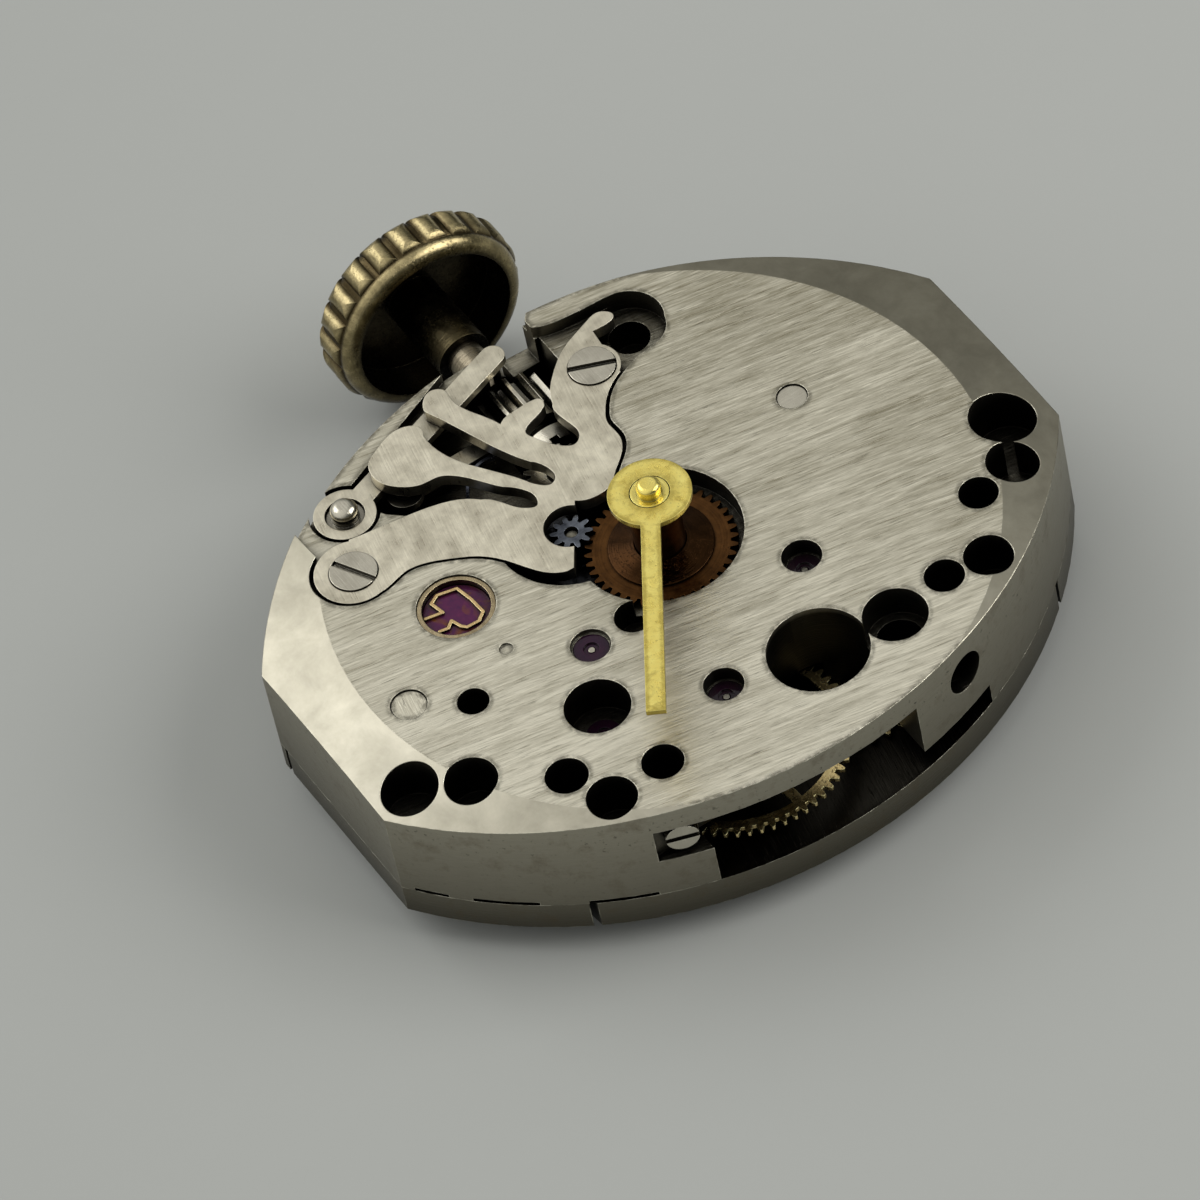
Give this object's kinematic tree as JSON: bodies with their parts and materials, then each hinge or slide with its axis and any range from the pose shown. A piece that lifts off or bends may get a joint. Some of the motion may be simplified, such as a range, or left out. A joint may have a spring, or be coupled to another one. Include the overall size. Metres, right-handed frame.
{
  "type": "mechanical watch movement",
  "caption": "Small oval hand-wound watch movement, dial side up, with train, balance, keyless works, hour hand and winding crown.",
  "frame": {"origin": "on the axis of the hands, at the back plane of the bridges", "axes": "+Z towards the dial, +X along the winding stem towards the crown, +Y towards 12 o'clock"},
  "size_m": [0.0189, 0.0178, 0.0063],
  "materials": {
    "plate_metal": "nickel plated, brushed dial seat, grained sides",
    "bridge_metal": "nickel plated, fine grain",
    "jewel": "polished synthetic ruby",
    "screw_steel": "polished",
    "gilt_brass": "gilt",
    "bright_steel": "fine grained steel",
    "spring_steel": "drawn",
    "hand_metal": "polished, worn",
    "copper": "rolled copper, tarnished",
    "crown_metal": "worn brass with olive patina"
  },
  "bodies": {
    "frame": {"main_plate": "plate_metal", "plate_jewels": "jewel", "steady_pins": "screw_steel", "train_bridge": "bridge_metal", "bridge_jewels": "jewel", "barrel_bridge": "bridge_metal", "balance_cock": "bridge_metal", "bridge_screws": "screw_steel", "pallet_cock": "bridge_metal", "centre_cock": "bridge_metal", "cock_screws": "screw_steel", "hairspring": "spring_steel", "hairspring_stud": "gilt_brass", "shock_settings": "bright_steel", "cap_jewels": "jewel", "shock_springs": "spring_steel", "keyless_cover": "bright_steel", "cover_screws": "screw_steel", "setting_lever_post": "bright_steel", "yoke_spring": "spring_steel", "dial_screws": "screw_steel", "wheel_screws": "screw_steel", "click_spring": "spring_steel"},
    "barrel": {"barrel_drum": "gilt_brass", "barrel_cover": "gilt_brass", "mainspring": "spring_steel"},
    "barrel_shaft": {"barrel_arbor": "bright_steel", "ratchet_wheel": "bright_steel", "ratchet_screw": "screw_steel"},
    "crown_wheel_body": {"crown_wheel": "bright_steel"},
    "winding_pinion_body": {"winding_pinion": "bright_steel"},
    "stem_body": {"stem": "bright_steel", "crown": "crown_metal"},
    "sliding_pinion_body": {"sliding_pinion": "bright_steel"},
    "setting_lever_body": {"setting_lever": "bright_steel"},
    "yoke_body": {"yoke": "bright_steel"},
    "centre": {"centre_wheel": "gilt_brass", "centre_pinion": "bright_steel"},
    "third": {"third_wheel": "gilt_brass", "third_pinion": "bright_steel"},
    "fourth": {"fourth_wheel": "gilt_brass", "fourth_pinion": "bright_steel"},
    "escape": {"escape_wheel": "bright_steel", "escape_pinion": "bright_steel"},
    "pallet": {"pallet_fork": "bright_steel", "pallet_arbor": "bright_steel", "pallet_stones": "jewel"},
    "balance": {"balance_wheel": "gilt_brass", "balance_staff": "bright_steel", "roller": "bright_steel", "impulse_jewel": "jewel", "hairspring_collet": "bright_steel"},
    "regulator_body": {"regulator": "bright_steel"},
    "minute_pinion": {"cannon_pinion": "bright_steel"},
    "minute_wheel_body": {"minute_wheel": "bright_steel"},
    "hour": {"hour_wheel": "gilt_brass", "hour_hand": "hand_metal", "dial_washer": "copper"},
    "setting_wheel_body": {"setting_wheel": "bright_steel"},
    "click_body": {"click": "bright_steel"}
  },
  "joints": [
    {"name": "centre_turn", "type": "hinge", "parent": "frame", "child": "centre", "pos_m": [0, 0, 0.0018], "axis": [0, 0, 1], "continuous": true},
    {"name": "barrel_turn", "type": "hinge", "parent": "frame", "child": "barrel", "pos_m": [0.00142, -0.00449, 0.0018], "axis": [0, 0, 1], "continuous": true},
    {"name": "third_turn", "type": "hinge", "parent": "frame", "child": "third", "pos_m": [-0.00255, -0.00213, 0.0018], "axis": [0, 0, 1], "continuous": true},
    {"name": "fourth_turn", "type": "hinge", "parent": "frame", "child": "fourth", "pos_m": [-0.00446, 0.00119, 0.0018], "axis": [0, 0, 1], "continuous": true},
    {"name": "escape_turn", "type": "hinge", "parent": "frame", "child": "escape", "pos_m": [-0.0032, 0.00369, 0.0018], "axis": [0, 0, 1], "continuous": true},
    {"name": "pallet_swing", "type": "hinge", "parent": "frame", "child": "pallet", "pos_m": [-0.00167, 0.00289, 0.0018], "axis": [0, 0, 1], "range_deg": [-5, 5]},
    {"name": "balance_swing", "type": "hinge", "parent": "frame", "child": "balance", "pos_m": [0.00118, 0.00463, 0.0018], "axis": [0, 0, 1], "range_deg": [-270, 270]},
    {"name": "regulator_turn", "type": "hinge", "parent": "frame", "child": "regulator_body", "pos_m": [0.00118, 0.00463, 0.00003], "axis": [0, 0, 1], "range_deg": [-12, 12]},
    {"name": "cannon_turn", "type": "hinge", "parent": "frame", "child": "minute_pinion", "pos_m": [0, 0, 0.0018], "axis": [0, 0, 1], "continuous": true},
    {"name": "minute_wheel_turn", "type": "hinge", "parent": "frame", "child": "minute_wheel_body", "pos_m": [0.00151, 0.00141, 0.00255], "axis": [0, 0, 1], "continuous": true},
    {"name": "hour_turn", "type": "hinge", "parent": "frame", "child": "hour", "pos_m": [0, 0, 0.0031], "axis": [0, 0, 1], "continuous": true},
    {"name": "setting_wheel_turn", "type": "hinge", "parent": "frame", "child": "setting_wheel_body", "pos_m": [0.00363, 0.00046, 0.00255], "axis": [0, 0, 1], "continuous": true},
    {"name": "winding_turn", "type": "hinge", "parent": "frame", "child": "winding_pinion_body", "pos_m": [0.0057, 0, 0.00165], "axis": [1, 0, 0], "continuous": true},
    {"name": "stem_pull", "type": "slide", "parent": "winding_pinion_body", "child": "stem_body", "axis": [1, 0, 0], "range_m": [0, 0.0004]},
    {"name": "clutch_shift", "type": "slide", "parent": "winding_pinion_body", "child": "sliding_pinion_body", "axis": [1, 0, 0], "range_m": [-0.0003, 0]},
    {"name": "setting_lever_turn", "type": "hinge", "parent": "frame", "child": "setting_lever_body", "pos_m": [0.00531, 0.00507, 0.00302], "axis": [0, 0, 1], "range_deg": [0, 4.52]},
    {"name": "yoke_turn", "type": "hinge", "parent": "frame", "child": "yoke_body", "pos_m": [0.0052, 0.0036, 0.00275], "axis": [0, 0, 1], "range_deg": [-6.3, 0]},
    {"name": "crown_wheel_turn", "type": "hinge", "parent": "frame", "child": "crown_wheel_body", "pos_m": [0.00489, 0, 0.00003], "axis": [0, 0, 1], "continuous": true},
    {"name": "ratchet_turn", "type": "hinge", "parent": "frame", "child": "barrel_shaft", "pos_m": [0.00142, -0.00449, 0.00003], "axis": [0, 0, 1], "continuous": true},
    {"name": "click_swing", "type": "hinge", "parent": "frame", "child": "click_body", "pos_m": [0.00019, -0.00021, 0.00011], "axis": [0, 0, 1], "range_deg": [0, 6]}
  ],
  "couplings": [
    {"joint": "barrel_turn", "follows": "centre_turn", "ratio": -0.16216},
    {"joint": "third_turn", "follows": "centre_turn", "ratio": -8},
    {"joint": "fourth_turn", "follows": "centre_turn", "ratio": 60},
    {"joint": "escape_turn", "follows": "centre_turn", "ratio": -600},
    {"joint": "cannon_turn", "follows": "centre_turn", "ratio": 1},
    {"joint": "minute_wheel_turn", "follows": "centre_turn", "ratio": -0.33333},
    {"joint": "hour_turn", "follows": "centre_turn", "ratio": 0.083333},
    {"joint": "setting_wheel_turn", "follows": "centre_turn", "ratio": 0.66667},
    {"joint": "clutch_shift", "follows": "stem_pull", "ratio": -0.75},
    {"joint": "setting_lever_turn", "follows": "stem_pull", "rad_per_m": 197.24},
    {"joint": "yoke_turn", "follows": "stem_pull", "rad_per_m": -274.73},
    {"joint": "crown_wheel_turn", "follows": "winding_turn", "ratio": 0.7},
    {"joint": "ratchet_turn", "follows": "winding_turn", "ratio": -0.38889}
  ]
}
